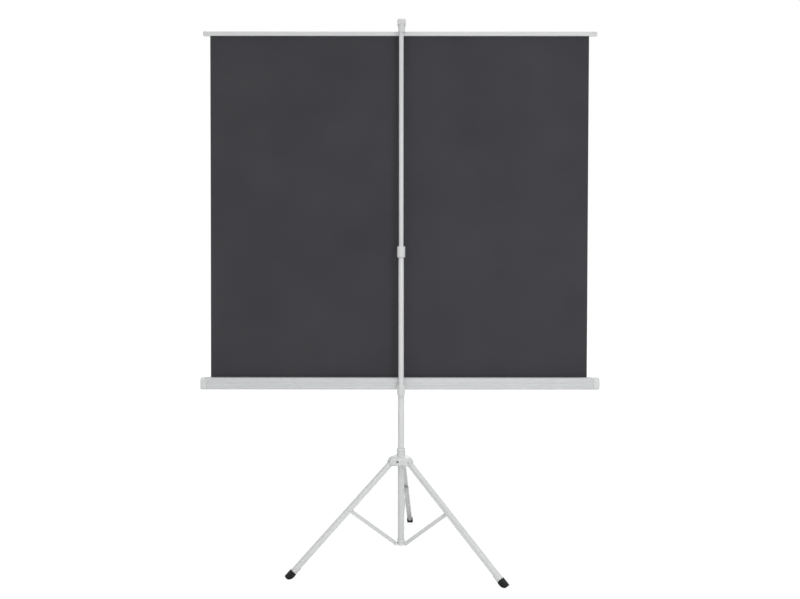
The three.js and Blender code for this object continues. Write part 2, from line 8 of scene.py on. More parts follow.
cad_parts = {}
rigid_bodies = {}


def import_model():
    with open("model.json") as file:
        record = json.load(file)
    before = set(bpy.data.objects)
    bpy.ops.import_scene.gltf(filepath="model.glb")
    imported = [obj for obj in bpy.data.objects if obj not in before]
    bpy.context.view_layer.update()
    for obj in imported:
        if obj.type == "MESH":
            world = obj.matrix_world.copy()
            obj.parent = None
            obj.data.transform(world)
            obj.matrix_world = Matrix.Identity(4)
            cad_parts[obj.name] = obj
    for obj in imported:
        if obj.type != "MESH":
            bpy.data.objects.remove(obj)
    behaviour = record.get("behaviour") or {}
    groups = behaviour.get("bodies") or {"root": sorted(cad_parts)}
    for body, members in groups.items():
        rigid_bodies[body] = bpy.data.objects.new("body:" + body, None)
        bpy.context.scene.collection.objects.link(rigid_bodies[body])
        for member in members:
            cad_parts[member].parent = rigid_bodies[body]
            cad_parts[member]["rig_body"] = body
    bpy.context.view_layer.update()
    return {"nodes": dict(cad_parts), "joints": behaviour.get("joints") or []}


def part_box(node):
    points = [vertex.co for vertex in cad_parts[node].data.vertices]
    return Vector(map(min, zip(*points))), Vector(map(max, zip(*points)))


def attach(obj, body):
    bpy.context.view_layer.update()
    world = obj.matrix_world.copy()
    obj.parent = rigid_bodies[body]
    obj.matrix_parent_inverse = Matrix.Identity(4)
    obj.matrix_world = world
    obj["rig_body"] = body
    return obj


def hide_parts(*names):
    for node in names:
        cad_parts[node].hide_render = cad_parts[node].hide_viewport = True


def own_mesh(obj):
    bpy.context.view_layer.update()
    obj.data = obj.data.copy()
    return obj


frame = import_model()
NODES = frame["nodes"]
MM = 0.001


# Places and sizes read from the frame

def middle_of(node):
    low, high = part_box(node)
    return (low + high) / 2


MAST = Vector((middle_of("lower_tube").x, middle_of("lower_tube").y, 0))
JOINTS = {joint["name"]: joint for joint in frame["joints"]}
LEGS = ("left", "right", "rear")
ALONG = (1, 0, 0)  # the case and its roller
THROUGH = (0, 1, 0)  # from the back to the front
UP = (0, 0, 1)


# Finishes

def map_range(tree, value, low, high, start=0.0, end=1.0):
    """Turns a value that runs from start to end into one that runs from low to high."""
    node = tree.nodes.new("ShaderNodeMapRange")
    for socket, number in (("From Min", start), ("From Max", end), ("To Min", low), ("To Max", high)):
        node.inputs[socket].default_value = number
    tree.links.new(value, node.inputs["Value"])
    return node.outputs["Result"]


class Finish:
    """A material whose nodes read Object coordinates, built up a layer at a time."""

    def __init__(self, name, colour, roughness, metallic=0.0, specular=0.5):
        self.material = bpy.data.materials.new(name)
        self.material.use_nodes = True
        self.nodes = self.material.node_tree.nodes
        self.links = self.material.node_tree.links
        self.shader = self.nodes["Principled BSDF"]
        self.set("Base Color", (*colour, 1))
        self.set("Roughness", roughness)
        self.set("Metallic", metallic)
        self.set("Specular IOR Level", specular)
        self.place = self.nodes.new("ShaderNodeTexCoord").outputs["Object"]
        self.colour = colour

    def set(self, socket, value):
        self.shader.inputs[socket].default_value = value

    def add(self, kind, **settings):
        node = self.nodes.new(kind)
        for key, value in settings.items():
            setattr(node, key, value)
        return node

    def stretched(self, scale):
        mapping = self.add("ShaderNodeMapping")
        mapping.inputs["Scale"].default_value = scale
        self.links.new(self.place, mapping.inputs["Vector"])
        return mapping.outputs["Vector"]

    def noise(self, scale, detail=3.0, stretch=None):
        node = self.add("ShaderNodeTexNoise")
        node.inputs["Scale"].default_value = scale
        node.inputs["Detail"].default_value = detail
        self.links.new(self.stretched(stretch) if stretch else self.place, node.inputs["Vector"])
        return node.outputs["Fac"]

    def ramp(self, value, low, high, start=0.3, end=0.7):
        return map_range(self.material.node_tree, value, low, high, start, end)

    def mix(self, share, first, second):
        node = self.add("ShaderNodeMix", data_type="RGBA")
        self.links.new(share, node.inputs["Factor"])
        for socket, value in ((node.inputs["A"], first), (node.inputs["B"], second)):
            if isinstance(value, tuple):
                socket.default_value = (*value, 1)
            else:
                self.links.new(value, socket)
        return node.outputs["Result"]

    def tint(self, colour):
        self.links.new(colour, self.shader.inputs["Base Color"])

    def vary_colour(self, scale, spread, stretch=None):
        darker = tuple(c * (1 - spread) for c in self.colour)
        lighter = tuple(min(1.0, c * (1 + spread)) for c in self.colour)
        share = self.ramp(self.noise(scale, stretch=stretch), 0.0, 1.0)
        self.tint(self.mix(share, darker, lighter))

    def vary_roughness(self, scale, low, high, stretch=None):
        rough = self.ramp(self.noise(scale, stretch=stretch), low, high)
        self.links.new(rough, self.shader.inputs["Roughness"])

    def bump(self, height, strength, distance=0.3 * MM):
        node = self.add("ShaderNodeBump")
        node.inputs["Strength"].default_value = strength
        node.inputs["Distance"].default_value = distance
        self.links.new(height, node.inputs["Height"])
        self.links.new(node.outputs["Normal"], self.shader.inputs["Normal"])


def frame_paint(name, colour):
    paint = Finish(name, colour, 0.38)
    paint.vary_colour(9.0, 0.02)
    paint.vary_roughness(55.0, 0.36, 0.43)
    paint.bump(paint.noise(900.0, 2.0), 0.04)
    return paint.material


def tube_paint():
    paint = Finish("tube_paint", (0.68, 0.69, 0.69), 0.3)
    paint.vary_colour(14.0, 0.02, stretch=(1, 1, 0.15))
    paint.vary_roughness(40.0, 0.24, 0.38, stretch=(1, 1, 0.1))
    paint.bump(paint.noise(700.0, 2.0, stretch=(1, 1, 0.2)), 0.08)
    return paint.material


def moulded_grey():
    plastic = Finish("moulded_grey", (0.672, 0.688, 0.682), 0.5)
    plastic.vary_colour(22.0, 0.02)
    plastic.vary_roughness(160.0, 0.44, 0.58)
    plastic.bump(plastic.noise(2600.0, 1.0), 0.22)
    return plastic.material


def zinc_steel():
    steel = Finish("zinc_steel", (0.62, 0.63, 0.64), 0.36, metallic=1.0)
    steel.vary_colour(60.0, 0.08)
    steel.vary_roughness(240.0, 0.28, 0.46)
    steel.bump(steel.noise(1500.0, 2.0), 0.1)
    return steel.material


def boot_rubber():
    rubber = Finish("boot_rubber", (0.01, 0.01, 0.011), 0.78, specular=0.25)
    dust = rubber.ramp(rubber.noise(70.0, 5.0), 0.0, 0.35, 0.45, 0.8)
    rubber.tint(rubber.mix(dust, (0.008, 0.008, 0.009), (0.026, 0.025, 0.024)))
    rubber.vary_roughness(120.0, 0.66, 0.88)
    rubber.bump(rubber.noise(1800.0, 2.0), 0.3, 0.4 * MM)
    return rubber.material


def natural_nylon():
    nylon = Finish("natural_nylon", (0.76, 0.75, 0.7), 0.45)
    nylon.vary_colour(80.0, 0.04)
    nylon.bump(nylon.noise(1200.0), 0.1)
    return nylon.material


def woven(cloth, thread, strength):
    """Crossing threads, as two sine waves across X and along Z."""
    heights = []
    for direction in ("X", "Z"):
        wave = cloth.add("ShaderNodeTexWave", wave_type="BANDS", bands_direction=direction)
        wave.inputs["Scale"].default_value = 1 / thread
        wave.inputs["Distortion"].default_value = 0.3
        wave.inputs["Detail"].default_value = 1.0
        cloth.links.new(cloth.place, wave.inputs["Vector"])
        heights.append(wave.outputs["Fac"])
    cross = cloth.add("ShaderNodeMath", operation="ADD")
    for i, height in enumerate(heights):
        cloth.links.new(height, cross.inputs[i])
    cloth.bump(cross.outputs["Value"], strength, 0.2 * MM)


def cloth_back():
    cloth = Finish("cloth_back", (0.046, 0.045, 0.051), 0.86, specular=0.25)
    mottle = cloth.ramp(cloth.noise(2.2, 4.0), 0.0, 1.0, 0.25, 0.75)
    base = cloth.mix(mottle, (0.0415, 0.0405, 0.0465), (0.0495, 0.0485, 0.0545))
    fleck = cloth.ramp(cloth.noise(420.0, 2.0), 0.0, 0.3, 0.4, 0.8)
    cloth.tint(cloth.mix(fleck, base, (0.060, 0.059, 0.065)))
    cloth.vary_roughness(6.0, 0.8, 0.93)
    woven(cloth, thread=6 * MM, strength=0.25)
    return cloth.material


def cloth_white():
    cloth = Finish("cloth_white", (0.86, 0.865, 0.87), 0.9, specular=0.2)
    cloth.vary_colour(3.0, 0.012)
    cloth.bump(cloth.noise(900.0, 2.0), 0.18)
    return cloth.material


def cloth_border():
    cloth = Finish("cloth_border", (0.012, 0.012, 0.013), 0.8, specular=0.3)
    cloth.vary_colour(30.0, 0.2)
    cloth.bump(cloth.noise(900.0, 2.0), 0.18)
    return cloth.material


PAINT = frame_paint("frame_paint", (0.69, 0.704, 0.698))
CASE_PAINT = frame_paint("case_paint", (0.62, 0.635, 0.642))
# painted light: a lighter grey inside the leg channels stands in for light where the channel lies in shade
INSIDE_PAINTED_LIGHT = frame_paint("leg_inside_painted_light", (0.8, 0.815, 0.81))
TUBE = tube_paint()
PLASTIC = moulded_grey()
STEEL = zinc_steel()
RUBBER = boot_rubber()
NYLON = natural_nylon()
BACK = cloth_back()
WHITE = cloth_white()
BORDER = cloth_border()


# Modelling by hand

WELD = 0.01 * MM  # points nearer than this are one
CUT = 1e-6  # how near a point lies to a cut to be on it
FLAT = math.radians(0.8)  # faces that turn less than this are one
SHARP = math.radians(28)  # edges that turn more than this are eased
CREASE = math.radians(34)  # edges that turn more than this stay crisp
SOFT_CREASE = math.radians(60)  # the same on moulded and wound pieces
FACING = 0.9  # the least share of a normal along the way that a face looks
# Cell of the remesh, passes of rubbing and share of faces kept
MOULDING = {
    "case_carrier": (0.5 * MM, 6, 0.4), "top_cap": (0.4 * MM, 5, 0.4), "cap_head": (0.4 * MM, 5, 0.4),
    "leg_bracket": (0.4 * MM, 4, 0.35), "hub": (0.6 * MM, 5, 0.3), "boot": (0.5 * MM, 3, 0.35),
    "case_cap": (0.6 * MM, 6, 0.4), "bar_cap": (0.4 * MM, 6, 0.4),
}


def deselect():
    bpy.ops.object.select_all(action="DESELECT")


def pick(piece):
    deselect()
    piece.select_set(True)
    bpy.context.view_layer.objects.active = piece


def editing(piece):
    pick(piece)
    bpy.ops.object.mode_set(mode="EDIT")


def done_editing():
    bpy.ops.object.mode_set(mode="OBJECT")


def editing_faces(piece, wanted):
    """Opens a piece for editing with only the wanted faces selected."""
    pick(piece)
    bpy.context.tool_settings.mesh_select_mode = (False, False, True)
    for item in (*piece.data.vertices, *piece.data.edges):
        item.select = False
    for face in piece.data.polygons:
        face.select = wanted(face)
    bpy.ops.object.mode_set(mode="EDIT")


def finished(piece, kind, **settings):
    """Adds a modifier to a piece and applies it."""
    pick(piece)
    step = piece.modifiers.new(kind.lower(), kind)
    for key, value in settings.items():
        setattr(step, key, value)
    bpy.ops.object.modifier_apply(modifier=step.name)


def put(piece, place, turn):
    """Moves a finished shape to its place, and leaves its object at the origin."""
    piece.matrix_world = Matrix.Translation(Vector(place)) @ turn.to_4x4()
    pick(piece)
    bpy.ops.object.transform_apply(location=True, rotation=True, scale=True)
    return piece


def soften(piece, width, segments=3):
    finished(
        piece, "BEVEL", width=width, segments=segments, limit_method="ANGLE", angle_limit=SHARP,
        harden_normals=False,
    )


def smooth(piece, crease=CREASE):
    pick(piece)
    bpy.ops.object.shade_smooth_by_angle(angle=crease)


def combine(piece, other, how, solver="MANIFOLD"):
    """Joins another shape to a piece or takes it out of it, and throws the other shape away."""
    finished(piece, "BOOLEAN", operation=how, solver=solver, object=other)
    bpy.data.objects.remove(other, do_unlink=True)


def cut_away(piece, cutter):
    combine(piece, cutter, "DIFFERENCE", "EXACT")


def stretch(piece, low, high):
    """Moves the lower and upper corners of a piece's box, and the piece with them."""
    corners = [Vector(corner) for corner in piece.bound_box]
    start = Vector(min(corner[i] for corner in corners) for i in range(3))
    end = Vector(max(corner[i] for corner in corners) for i in range(3))
    pull = Vector(1 + (high[i] - low[i]) / (end[i] - start[i]) for i in range(3))
    piece.scale = pull
    piece.location = start + Vector(low) - pull * start
    pick(piece)
    bpy.ops.object.transform_apply(location=True, rotation=True, scale=True)
    return piece


def block(low, high):
    deselect()
    bpy.ops.mesh.primitive_cube_add(size=1, location=(0, 0, 0))
    piece = bpy.context.object
    piece.scale = Vector(high) - Vector(low)
    piece.location = (Vector(low) + Vector(high)) / 2
    bpy.ops.object.transform_apply(location=True, rotation=True, scale=True)
    return piece


def drill(piece, place, direction, radius, depth):
    deselect()
    bpy.ops.mesh.primitive_cylinder_add(vertices=32, radius=radius, depth=2 * depth, location=place)
    bit = bpy.context.object
    bit.rotation_euler = Vector(direction).to_track_quat("Z", "Y").to_euler()
    cut_away(piece, bit)


def welded(node):
    """A copy of a node's own shape, merged into one skin and left open for editing."""
    piece = bpy.data.objects.new(node, NODES[node].data.copy())
    bpy.context.scene.collection.objects.link(piece)
    editing(piece)
    bpy.ops.mesh.select_all(action="SELECT")
    bpy.ops.mesh.remove_doubles(threshold=WELD)
    return piece


def eased(node, edge, segments=3):
    """A node's own shape in clean faces, with its edges eased."""
    piece = welded(node)
    bpy.ops.mesh.dissolve_limited(angle_limit=FLAT)
    done_editing()
    soften(piece, edge, segments)
    smooth(piece)
    return piece


def spun(node, axis, steps=64, edge=0.4 * MM):
    """A turned node's half profile, cut out of it and spun round its axis again in fine steps."""
    centre = middle_of(node)
    axis = Vector(axis)
    spokes = [point.co - centre for point in NODES[node].data.vertices]
    arms = [spoke - spoke.dot(axis) * axis for spoke in spokes]
    across = max(arms, key=lambda arm: arm.length).normalized()
    face = axis.cross(across)
    piece = welded(node)
    bpy.ops.mesh.bisect(
        plane_co=centre, plane_no=face, clear_inner=True, clear_outer=True, threshold=CUT,
    )
    bpy.ops.mesh.select_all(action="SELECT")
    bpy.ops.mesh.bisect(plane_co=centre, plane_no=across, clear_inner=True, threshold=CUT)
    bpy.ops.mesh.select_all(action="SELECT")
    bpy.ops.mesh.spin(steps=steps, angle=2 * math.pi, center=centre, axis=axis)
    bpy.ops.mesh.select_all(action="SELECT")
    bpy.ops.mesh.remove_doubles(threshold=WELD)
    bpy.ops.mesh.normals_make_consistent(inside=False)
    done_editing()
    soften(piece, edge)
    smooth(piece)
    return piece


def moulded(node, moulding, holes=()):
    """A node's own shape as a mould gives it, with any holes drilled first."""
    piece = welded(node)
    done_editing()
    for hole in holes:
        drill(piece, *hole)
    return rubbed(piece, moulding)


def rubbed(piece, moulding):
    """Remeshes a shape fine, rubs its edges round, and thins it again."""
    grain, rubs, share = moulding
    finished(piece, "REMESH", mode="VOXEL", voxel_size=grain)
    finished(piece, "SMOOTH", factor=0.5, iterations=rubs)
    finished(piece, "DECIMATE", ratio=share)
    smooth(piece, SOFT_CREASE)
    return piece


def section(node, corner, slot, grooves=()):
    """A section along X: a rounded oblong drawn out, grooved at the back, slotted and given a wall."""
    piece = drawn_oblong(*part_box(node), corner)
    for z in grooves:
        press_groove(piece, z)
    open_slot(piece, *slot)
    finished(piece, "SOLIDIFY", thickness=WALL, offset=-1, use_even_offset=True)
    return piece


def drawn_oblong(low, high, corner):
    """An oblong with rounded corners, drawn out along X and open at both ends."""
    middle = (low + high) / 2
    deselect()
    bpy.ops.mesh.primitive_plane_add(size=1, location=(0, 0, 0))
    piece = bpy.context.object
    piece.scale = (high.y - low.y, high.z - low.z, 1)
    bpy.ops.object.transform_apply(location=True, rotation=True, scale=True)
    editing(piece)
    bpy.ops.mesh.select_all(action="SELECT")
    bpy.ops.mesh.bevel(offset=corner, segments=CORNER_STEPS, affect="VERTICES")
    bpy.ops.mesh.select_all(action="SELECT")
    bpy.ops.mesh.extrude_region_move(TRANSFORM_OT_translate={"value": (0, 0, high.x - low.x)})
    bpy.ops.mesh.select_all(action="SELECT")
    bpy.ops.mesh.normals_make_consistent(inside=False)
    done_editing()
    put(piece, (low.x, middle.y, middle.z), Matrix(((0, 0, 1), (1, 0, 0), (0, 1, 0))))
    editing_faces(piece, lambda face: abs(face.normal.x) > FACING)
    bpy.ops.mesh.delete(type="FACE")
    done_editing()
    return piece


def press_groove(piece, z):
    """Presses a groove with sloping flanks into a section's back, from z up."""
    first, last = GROOVE_FLANK, GROOVE_WIDTH - GROOVE_FLANK
    for edge in (0, first, last, GROOVE_WIDTH):
        editing_faces(piece, lambda face: face.normal.y < -FACING)
        bpy.ops.mesh.bisect(plane_co=(0, 0, z + edge), plane_no=UP)
        done_editing()
    editing_faces(piece, lambda face: face.normal.y < -FACING and first < face.center.z - z < last)
    bpy.ops.transform.translate(value=(0, GROOVE_DEPTH, 0))
    done_editing()


def open_slot(piece, side, near, far):
    """Takes the skin out along a section, on its top where side is 1 and under it where side is -1."""
    for y in (near, far):
        editing_faces(piece, lambda face: face.normal.z * side > FACING)
        bpy.ops.mesh.bisect(plane_co=(0, y, 0), plane_no=THROUGH)
        done_editing()
    editing_faces(piece, lambda face: face.normal.z * side > FACING and near < face.center.y < far)
    bpy.ops.mesh.delete(type="FACE")
    done_editing()


def dress(piece, name, body, material, stands_for=()):
    """Names a finished piece, gives it its finish and body, and hides the nodes that it stands for."""
    piece.name = name
    piece.data.name = name
    piece.data.materials.clear()
    piece.data.materials.append(material)
    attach(piece, body)
    if stands_for:
        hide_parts(*stands_for)
    return piece


def redress(node, piece, material):
    """A piece takes a node's place on the same body."""
    return dress(piece, f"{node}_piece", NODES[node]["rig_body"], material, (node,))


# Mast

FERRULE_CUT = 1.8 * MM
CAP_ASIDE = 1.2 * MM
HEAD_DROP = 3 * MM


def mast():
    for node in ("lower_tube", "mid_tube", "upper_tube"):
        redress(node, spun(node, UP), TUBE)
    ferrule = stretch(spun("tube_ferrule", UP), (0, 0, 0), (0, 0, -FERRULE_CUT))
    redress("tube_ferrule", ferrule, PLASTIC)
    redress("tube_end_plug", spun("tube_end_plug", UP), PLASTIC)
    redress("twist_collar", spun("twist_collar", UP, steps=96, edge=0.8 * MM), PLASTIC)
    for node in ("mid_tube_bush", "upper_tube_plug", "lock_collet"):
        redress(node, spun(node, UP, steps=48), NYLON)
    redress("case_carrier", moulded("case_carrier", MOULDING["case_carrier"]), PLASTIC)
    for node, drop in (("top_cap", 0), ("cap_head", HEAD_DROP)):
        piece = stretch(moulded(node, MOULDING[node]), (CAP_ASIDE, 0, -drop), (CAP_ASIDE, 0, 0))
        redress(node, piece, PLASTIC)
    redress("swivel_washer", spun("swivel_washer", THROUGH, steps=48, edge=0.2 * MM), NYLON)
    redress("swivel_bolt", spun("swivel_bolt", THROUGH, steps=48, edge=0.3 * MM), STEEL)


# Tripod

def tripod():
    redress("leg_bracket", moulded("leg_bracket", MOULDING["leg_bracket"]), PAINT)
    hub()
    redress("hub_bush", spun("hub_bush", UP), PLASTIC)
    for leg in LEGS:
        # the inside of each leg's channel gets a lighter paint, as painted light against its shade
        paint_light_inside(redress(f"leg_{leg}", limb(leg), PAINT), leg)
        redress(f"strut_{leg}", eased(f"strut_{leg}", 0.5 * MM), PAINT)
        redress(f"boot_{leg}", boot(leg), RUBBER)
        across = JOINTS[f"leg_{leg}_pivot"]["axis"]
        for pin in ("hub_pin", "strut_rivet", "bracket_rivet"):
            node = f"{pin}_{leg}"
            redress(node, spun(node, across, steps=32, edge=0.3 * MM), PAINT)


HUB_BORE = 15.2 * MM
HUB_SHOULDER = 404 * MM
HUB_DEPTH = 60 * MM
SLOT_ROOM = {"inner": 16.9 * MM, "outer": 80 * MM, "floor": 350 * MM, "roof": 401.4 * MM}
LEG_SIDES = (-13.9 * MM, 7.9 * MM)
CHEEK = 3.6 * MM
NEAR_CHEEK = LEG_SIDES[0] - CHEEK
FAR_CHEEK = LEG_SIDES[1] + CHEEK
PIN_POCKET = 4.2 * MM
# Small holes in the hub: reach from the mast, side, height, radius and depth
HUB_HOLES = (
    (46 * MM, NEAR_CHEEK, 386.5 * MM, 2.9 * MM, 3.4 * MM),
    (39 * MM, FAR_CHEEK, 374 * MM, 1.7 * MM, 3 * MM),
    (46 * MM, NEAR_CHEEK, 373 * MM, 1.7 * MM, 3 * MM),
)
DRILL_START = 20 * MM  # outside the cheek
LEG_BACK = 14.5 * MM  # from a leg's pivot to the slot's edge over its back
SPREAD = math.radians(47.4)  # of an open leg from the mast


def hub():
    """The yoke: a full skirt drawn over its three slotted lobes, joined to them and rubbed smooth."""
    yoke = welded("hub")
    done_editing()
    skirt = welded("hub")
    bpy.ops.mesh.select_all(action="SELECT")
    bpy.ops.mesh.bisect(plane_co=(0, 0, HUB_SHOULDER), plane_no=UP, clear_outer=True, use_fill=True)
    bpy.ops.mesh.select_all(action="SELECT")
    bpy.ops.mesh.convex_hull()
    done_editing()
    drill(skirt, (MAST.x, MAST.y, HUB_SHOULDER), UP, HUB_BORE, HUB_DEPTH)
    for leg in LEGS:
        combine(skirt, leg_room(leg), "DIFFERENCE")
    combine(yoke, skirt, "UNION")

    for leg in LEGS:
        pivot = hub_pivot(leg)
        turn = leg_turn(leg)
        pocket = (pivot.x, FAR_CHEEK, pivot.z, PIN_POCKET, 0)
        for reach, side, height, radius, depth in (pocket, *HUB_HOLES):
            outside = math.copysign(DRILL_START, side)
            place = MAST + turn @ Vector((reach, side + outside, height))
            drill(yoke, place, turn @ Vector(THROUGH), radius, DRILL_START + depth)
    redress("hub", rubbed(yoke, MOULDING["hub"]), PLASTIC)


def leg_turn(leg):
    """Turns X to the way that a leg points, seen from above."""
    across = JOINTS[f"leg_{leg}_pivot"]["axis"]
    return Matrix.Rotation(math.atan2(across[0], -across[1]), 3, "Z")


def hub_pivot(leg):
    """A hub pin's place in its leg's own upright plane."""
    return leg_turn(leg).inverted() @ (middle_of(f"hub_pin_{leg}") - MAST)


def leg_room(leg):
    """The slot that a leg folds in, a block with its upper corner cut off along the open leg's back."""
    pivot = hub_pivot(leg)
    inner, outer, low, roof = SLOT_ROOM.values()
    near, far = LEG_SIDES
    room = block((inner, near, low), (outer, far, roof))
    editing(room)
    bpy.ops.mesh.select_all(action="SELECT")
    slope = Vector((math.cos(SPREAD), 0, math.sin(SPREAD)))
    corner = Vector((pivot.x, 0, pivot.z)) + LEG_BACK * slope
    bpy.ops.mesh.bisect(plane_co=corner, plane_no=slope, clear_outer=True, use_fill=True)
    done_editing()
    return put(room, MAST, leg_turn(leg))


LEG_END = 562 * MM  # along the leg from its hub pivot
LEG_INSIDE = {"inner": -5 * MM, "web": 12 * MM, "near": -12 * MM, "far": 6 * MM}
RAMP = {"top": 513 * MM, "foot": 552 * MM}


def leg_frame(leg):
    """A leg's own frame, from its hub pivot: X out of its back, Z up along it."""
    pivot = hub_pivot(leg)
    turn = leg_turn(leg)
    return MAST + turn @ Vector((pivot.x, 0, pivot.z)), turn @ Matrix.Rotation(-SPREAD, 3, "Y")


def along_leg(piece, leg):
    return put(piece, *leg_frame(leg))


def limb(leg):
    """A leg's channel, with its web ramped up to its inner edge just above the foot."""
    piece = welded(f"leg_{leg}")
    done_editing()
    inner, web, near, far = LEG_INSIDE.values()
    ramp = block((inner, near, -LEG_END), (web, far, -RAMP["top"]))
    editing(ramp)
    bpy.ops.mesh.select_all(action="SELECT")
    rise = Vector((RAMP["top"] - RAMP["foot"], 0, web - inner)).normalized()
    foot = (inner, 0, -RAMP["foot"])
    bpy.ops.mesh.bisect(plane_co=foot, plane_no=rise, clear_outer=True, use_fill=True)
    done_editing()
    combine(piece, along_leg(ramp, leg), "UNION")
    editing(piece)
    bpy.ops.mesh.select_all(action="SELECT")
    bpy.ops.mesh.dissolve_limited(angle_limit=FLAT)
    done_editing()
    soften(piece, 0.3 * MM, 2)
    smooth(piece)
    return piece


def paint_light_inside(piece, leg):
    """Gives the faces inside a leg's channel a lighter paint: painted light that lifts the shade inside the
    channel.
    """
    slack = 0.2 * MM
    start, turn = leg_frame(leg)
    inner, web, near, far = LEG_INSIDE.values()
    piece.data.materials.append(INSIDE_PAINTED_LIGHT)
    for face in piece.data.polygons:
        spot = turn.inverted() @ (face.center - start)
        if inner - slack < spot.x < web and near + slack < spot.y < far - slack:
            face.material_index = 1


# Corners in the leg's own frame
TOE = ((11.5 * MM, -11.5 * MM, -578.6 * MM), (14.6 * MM, 5.5 * MM, -573 * MM))
LIP = ((-6.7 * MM, -14.5 * MM, -562 * MM), (-5.1 * MM, 8.5 * MM, -548.5 * MM))
TONGUE = ((-5.7 * MM, -12.3 * MM, -562 * MM), (-1 * MM, 6.3 * MM, -521 * MM))
FORK = {"middle": -3 * MM, "half": 6.2 * MM, "foot": -543.3 * MM, "top": -500 * MM, "reach": 40 * MM}


def boot(leg):
    """A boot with a squarer toe, a low lip on the leg's inner side and a tongue in its channel."""
    piece = welded(f"boot_{leg}")
    done_editing()
    for added in (block(*TOE), block(*LIP), tongue()):
        combine(piece, along_leg(added, leg), "UNION")
    return rubbed(piece, MOULDING["boot"])


def tongue():
    """The part of a boot inside its leg's channel, forked round a gap with a round end."""
    piece = block(*TONGUE)
    middle, half, foot, top, reach = FORK.values()
    cut_away(piece, block((-reach, middle - half, foot), (reach, middle + half, top)))
    drill(piece, (0, middle, foot), (1, 0, 0), half, reach)
    return piece


# Case and roller

CASE_CORNER = 7 * MM
BAR_CORNER = 4.5 * MM
CORNER_STEPS = 8
WALL = 1.6 * MM
CASE_SLOT = (34 * MM, 40.8 * MM)  # from its back
GROOVES = (20.7 * MM, 8.7 * MM)  # under its top
GROOVE_WIDTH = 1 * MM
GROOVE_DEPTH = 0.6 * MM
GROOVE_FLANK = 0.25 * MM
BOLT_HOLE = (3.3 * MM, 3 * MM)  # radius and depth
SCREW_INSET = 11.5 * MM
SCREW_RADIUS = 3.4 * MM
SCREW_ROOM = 0.5 * MM
SCREW_SUNK = 2.2 * MM
# Rise over the ring before, and share of its width
SCREW_RINGS = ((0.9 * MM, 1), (0.5 * MM, 0.88), (0.3 * MM, 0.75), (0.1 * MM, 0.5))
SCREW_CROSS = {"length": 3.6 * MM, "width": 0.75 * MM, "depth": 1.6 * MM}


def case():
    low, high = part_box("case_shell")
    slot = (1, *(low.y + edge for edge in CASE_SLOT))
    shell = section("case_shell", CASE_CORNER, slot, [high.z - down for down in GROOVES])
    bolt = middle_of("swivel_bolt")
    drill(shell, (bolt.x, low.y, bolt.z), THROUGH, *BOLT_HOLE)
    soften(shell, 0.3 * MM, 2)
    smooth(shell)
    redress("case_shell", shell, CASE_PAINT)


def case_caps():
    """The case's end caps, each with two screws sunk in it."""
    low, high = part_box("case_shell")
    seats = {"back": low.y + SCREW_INSET, "front": high.y - SCREW_INSET}
    height = (low.z + high.z) / 2
    bite = 0.1 * MM
    for side, end in (("left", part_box("case_cap_left")[0].x), ("right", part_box("case_cap_right")[1].x)):
        outward = (math.copysign(1, end), 0, 0)
        width = SCREW_RADIUS + SCREW_ROOM
        holes = [((end, y, height), outward, width, SCREW_SUNK) for y in seats.values()]
        node = f"case_cap_{side}"
        redress(node, moulded(node, MOULDING["case_cap"], holes), PLASTIC)
        for place, y in seats.items():
            foot = (end - outward[0] * (SCREW_SUNK - bite), y, height)
            dress(screw_head(foot, outward), f"cap_screw_{side}_{place}", "case", STEEL)


def screw_head(foot, outward):
    """A pan head with a cross recess, raised ring by ring from a circle."""
    deselect()
    bpy.ops.mesh.primitive_circle_add(
        vertices=32, radius=SCREW_RADIUS, fill_type="NGON", location=(0, 0, 0),
    )
    head = bpy.context.object
    editing(head)
    bpy.ops.mesh.select_all(action="SELECT")
    for rise, shrink in SCREW_RINGS:
        bpy.ops.mesh.extrude_region_move(TRANSFORM_OT_translate={"value": (0, 0, rise)})
        bpy.ops.transform.resize(value=(shrink, shrink, 1))
    bpy.ops.mesh.select_all(action="SELECT")
    bpy.ops.mesh.normals_make_consistent(inside=False)
    done_editing()
    length, width, depth = SCREW_CROSS.values()
    for long, wide in ((length, width), (width, length)):
        deselect()
        bpy.ops.mesh.primitive_cube_add(size=1, location=(0, 0, depth))
        blade = bpy.context.object
        blade.scale = (long, wide, depth)
        cut_away(head, blade)
    smooth(head)
    return put(head, foot, Vector(outward).to_track_quat("Z", "Y").to_matrix())


def roller():
    """The roller, its spring and ends, the fabric wound on it and the rod in the fabric's hem."""
    for node, material in (
        ("roller_tube", STEEL), ("roller_plug_left", NYLON), ("roller_plug_right", NYLON),
        ("spring_anchor", NYLON), ("spring_arbor", STEEL), ("roller_gudgeon", STEEL),
        ("wound_fabric", BACK), ("hem_rod", STEEL),
    ):
        redress(node, spun(node, ALONG, steps=48, edge=0.2 * MM), material)
    coil = welded("roller_spring")
    done_editing()
    finished(coil, "SUBSURF", levels=1, render_levels=1)
    smooth(coil, SOFT_CREASE)
    redress("roller_spring", coil, STEEL)


# Fabric and top bar

CLOTH = 0.8 * MM
CLOTH_CUTS = 24  # across each panel
BORDER_WIDTH = 40 * MM
LOWER_BORDER = 64 * MM
SKEW = 2.4 * MM
WAVE = 1.2 * MM
# Waves of the fabric: radians over its width and over its height, start and share
WAVES = ((5.3, 0, 1.1, 1), (11.0, 4.0, 0, 0.6))
BAR_SLOT = 1.2 * MM  # half of it


